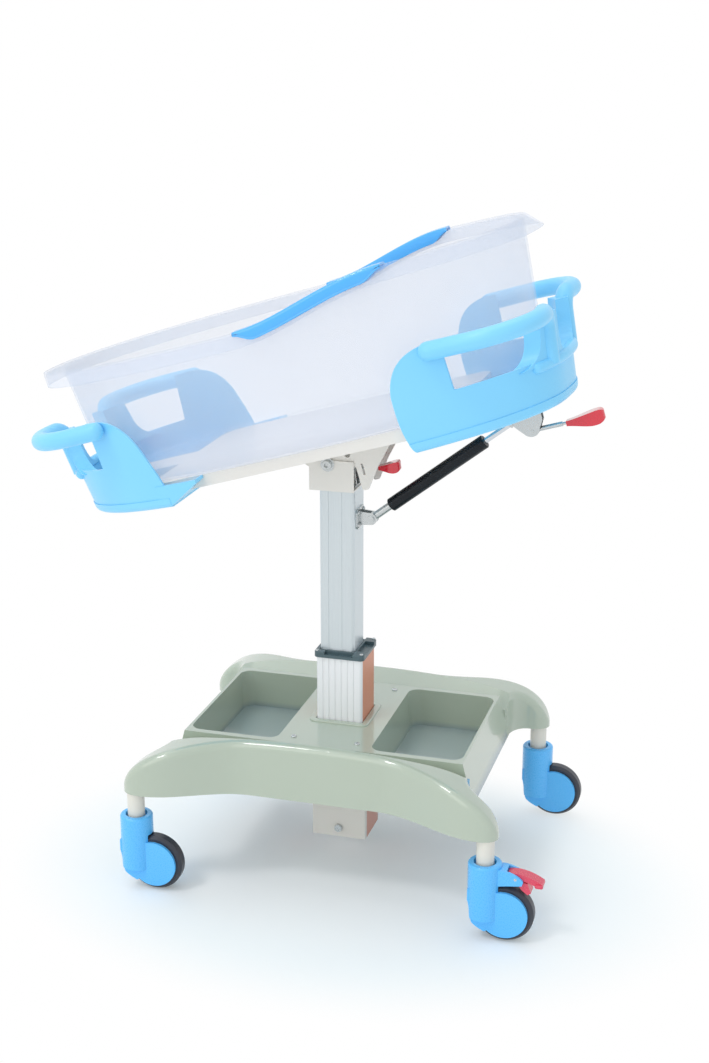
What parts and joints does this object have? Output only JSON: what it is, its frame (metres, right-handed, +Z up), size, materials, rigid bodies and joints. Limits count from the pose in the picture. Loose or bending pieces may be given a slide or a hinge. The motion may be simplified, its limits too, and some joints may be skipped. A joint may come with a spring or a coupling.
{
  "type": "hospital bassinet",
  "caption": "Hospital bassinet trolley: clear stepped tub with wrap-around end bumpers and grips on a tilting platform, telescopic column, low base cover with trays, swivel casters",
  "frame": {"origin": "on the floor below the axis of the lifting column", "axes": "+X towards the raised head end of the tub, +Y to the left side, +Z up"},
  "size_m": [0.9796, 0.533, 1.1582],
  "materials": {
    "cream_enamel": "satin powder coat",
    "frame_enamel": "satin powder coat",
    "deck_plastic": "fine grained moulding",
    "column_aluminium": "satin anodised",
    "collar_plastic": "moulded",
    "glide_plastic": "moulded",
    "housing_plastic": "moulded",
    "tyre_rubber": "moulded",
    "hub_plastic": "moulded",
    "zinc_steel": "bright zinc",
    "pedal_plastic": "moulded",
    "grip_plastic": "moulded",
    "bumper_plastic": "moulded",
    "trim_plastic": "moulded",
    "spring_enamel": "gloss black",
    "rod_chrome": "hard chrome",
    "tub_plastic": "translucent moulding"
  },
  "bodies": {
    "base": {"base_frame": "frame_enamel", "base_cover": "deck_plastic", "deck_screws": "zinc_steel", "caster_kingpins": "zinc_steel", "lower_column": "cream_enamel", "column_collar": "collar_plastic", "collar_screws": "zinc_steel", "height_lift_cylinder": "spring_enamel", "column_foot_bracket": "cream_enamel", "foot_bracket_bolts": "zinc_steel"},
    "upper_column": {"upper_column": "column_aluminium", "column_glides": "glide_plastic", "column_head_plug": "glide_plastic", "height_lift_rod": "rod_chrome", "column_head_bracket": "cream_enamel", "pivot_bolt": "zinc_steel", "spring_lower_clevis": "zinc_steel", "spring_lower_pin": "zinc_steel", "clevis_screws": "zinc_steel", "height_lever_stand": "zinc_steel", "height_lever_pin": "zinc_steel"},
    "bed": {"bed_platform": "cream_enamel", "tilt_saddle": "cream_enamel", "head_bumper": "bumper_plastic", "foot_bumper": "bumper_plastic", "bumper_screws": "zinc_steel", "spring_head_bracket": "zinc_steel", "head_bracket_pins": "zinc_steel"},
    "tub": {"tub": "tub_plastic", "tub_trim_left": "trim_plastic", "tub_trim_right": "trim_plastic"},
    "spring_cylinder": {"tilt_spring_cylinder": "spring_enamel", "spring_lower_eye": "zinc_steel"},
    "spring_rod": {"tilt_spring_rod": "rod_chrome", "spring_upper_eye": "zinc_steel", "spring_lock_nut": "zinc_steel"},
    "tilt_lever": {"tilt_release_lever": "zinc_steel", "tilt_lever_grip": "grip_plastic"},
    "height_lever": {"height_release_lever": "zinc_steel", "height_lever_grip": "grip_plastic"},
    "swivel_foot_left": {"caster_foot_left_fork": "housing_plastic", "caster_foot_left_axle": "zinc_steel", "brake_pin_foot_left": "zinc_steel"},
    "wheel_foot_left": {"caster_foot_left_tyre": "tyre_rubber", "caster_foot_left_hub": "hub_plastic"},
    "swivel_foot_right": {"caster_foot_right_fork": "housing_plastic", "caster_foot_right_axle": "zinc_steel"},
    "wheel_foot_right": {"caster_foot_right_tyre": "tyre_rubber", "caster_foot_right_hub": "hub_plastic"},
    "swivel_head_left": {"caster_head_left_fork": "housing_plastic", "caster_head_left_axle": "zinc_steel"},
    "wheel_head_left": {"caster_head_left_tyre": "tyre_rubber", "caster_head_left_hub": "hub_plastic"},
    "swivel_head_right": {"caster_head_right_fork": "housing_plastic", "caster_head_right_axle": "zinc_steel", "brake_pin_head_right": "zinc_steel"},
    "wheel_head_right": {"caster_head_right_tyre": "tyre_rubber", "caster_head_right_hub": "hub_plastic"},
    "pedal_head_right": {"brake_pedal_head_right": "pedal_plastic"},
    "pedal_foot_left": {"brake_pedal_foot_left": "pedal_plastic"}
  },
  "joints": [
    {"name": "height", "type": "slide", "parent": "base", "child": "upper_column", "axis": [0, 0, 1], "range_m": [-0.2, 0]},
    {"name": "tilt", "type": "hinge", "parent": "upper_column", "child": "bed", "pos_m": [-0.02, 0, 0.735], "axis": [0, 1, 0], "range_deg": [0, 16.5]},
    {"name": "tub_lift", "type": "slide", "parent": "bed", "child": "tub", "axis": [-0.284, 0, 0.9588], "range_m": [0, 0.3]},
    {"name": "spring_swing", "type": "hinge", "parent": "upper_column", "child": "spring_cylinder", "pos_m": [0.0485, 0, 0.6345], "axis": [0, 1, 0], "range_deg": [0, 17]},
    {"name": "spring_stroke", "type": "slide", "parent": "spring_cylinder", "child": "spring_rod", "axis": [0.7908, 0, 0.6121], "range_m": [-0.0352, 0]},
    {"name": "tilt_lever", "type": "hinge", "parent": "bed", "child": "tilt_lever", "pos_m": [0.32489, 0, 0.81004], "axis": [0, 1, 0], "range_deg": [-9, 0], "stiffness_Nm_per_rad": 1, "springref_deg": 1.15},
    {"name": "height_lever", "type": "hinge", "parent": "upper_column", "child": "height_lever", "pos_m": [0.012, 0, 0.719], "axis": [0, 1, 0], "range_deg": [-5, 0], "stiffness_Nm_per_rad": 1, "springref_deg": 1.15},
    {"name": "swivel_head_right", "type": "hinge", "parent": "base", "child": "swivel_head_right", "pos_m": [0.31, -0.238, 0.11], "axis": [0, 0, 1], "continuous": true},
    {"name": "wheel_head_right", "type": "hinge", "parent": "swivel_head_right", "child": "wheel_head_right", "pos_m": [0.345, -0.238, 0.05], "axis": [0, 1, 0], "continuous": true},
    {"name": "swivel_head_left", "type": "hinge", "parent": "base", "child": "swivel_head_left", "pos_m": [0.31, 0.238, 0.11], "axis": [0, 0, 1], "continuous": true},
    {"name": "wheel_head_left", "type": "hinge", "parent": "swivel_head_left", "child": "wheel_head_left", "pos_m": [0.345, 0.238, 0.05], "axis": [0, 1, 0], "continuous": true},
    {"name": "swivel_foot_right", "type": "hinge", "parent": "base", "child": "swivel_foot_right", "pos_m": [-0.31, -0.238, 0.11], "axis": [0, 0, 1], "continuous": true},
    {"name": "wheel_foot_right", "type": "hinge", "parent": "swivel_foot_right", "child": "wheel_foot_right", "pos_m": [-0.275, -0.238, 0.05], "axis": [0, 1, 0], "continuous": true},
    {"name": "swivel_foot_left", "type": "hinge", "parent": "base", "child": "swivel_foot_left", "pos_m": [-0.31, 0.238, 0.11], "axis": [0, 0, 1], "continuous": true},
    {"name": "wheel_foot_left", "type": "hinge", "parent": "swivel_foot_left", "child": "wheel_foot_left", "pos_m": [-0.275, 0.238, 0.05], "axis": [0, 1, 0], "continuous": true},
    {"name": "brake_head_right", "type": "hinge", "parent": "swivel_head_right", "child": "pedal_head_right", "pos_m": [0.3635, -0.238, 0.117], "axis": [0, 1, 0], "range_deg": [0, 8]},
    {"name": "brake_foot_left", "type": "hinge", "parent": "swivel_foot_left", "child": "pedal_foot_left", "pos_m": [-0.2565, 0.238, 0.117], "axis": [0, 1, 0], "range_deg": [0, 8]}
  ],
  "couplings": [
    {"joint": "spring_swing", "follows": "tilt", "ratio": 1.0239},
    {"joint": "spring_stroke", "follows": "tilt", "m_per_rad": -0.12188}
  ]
}
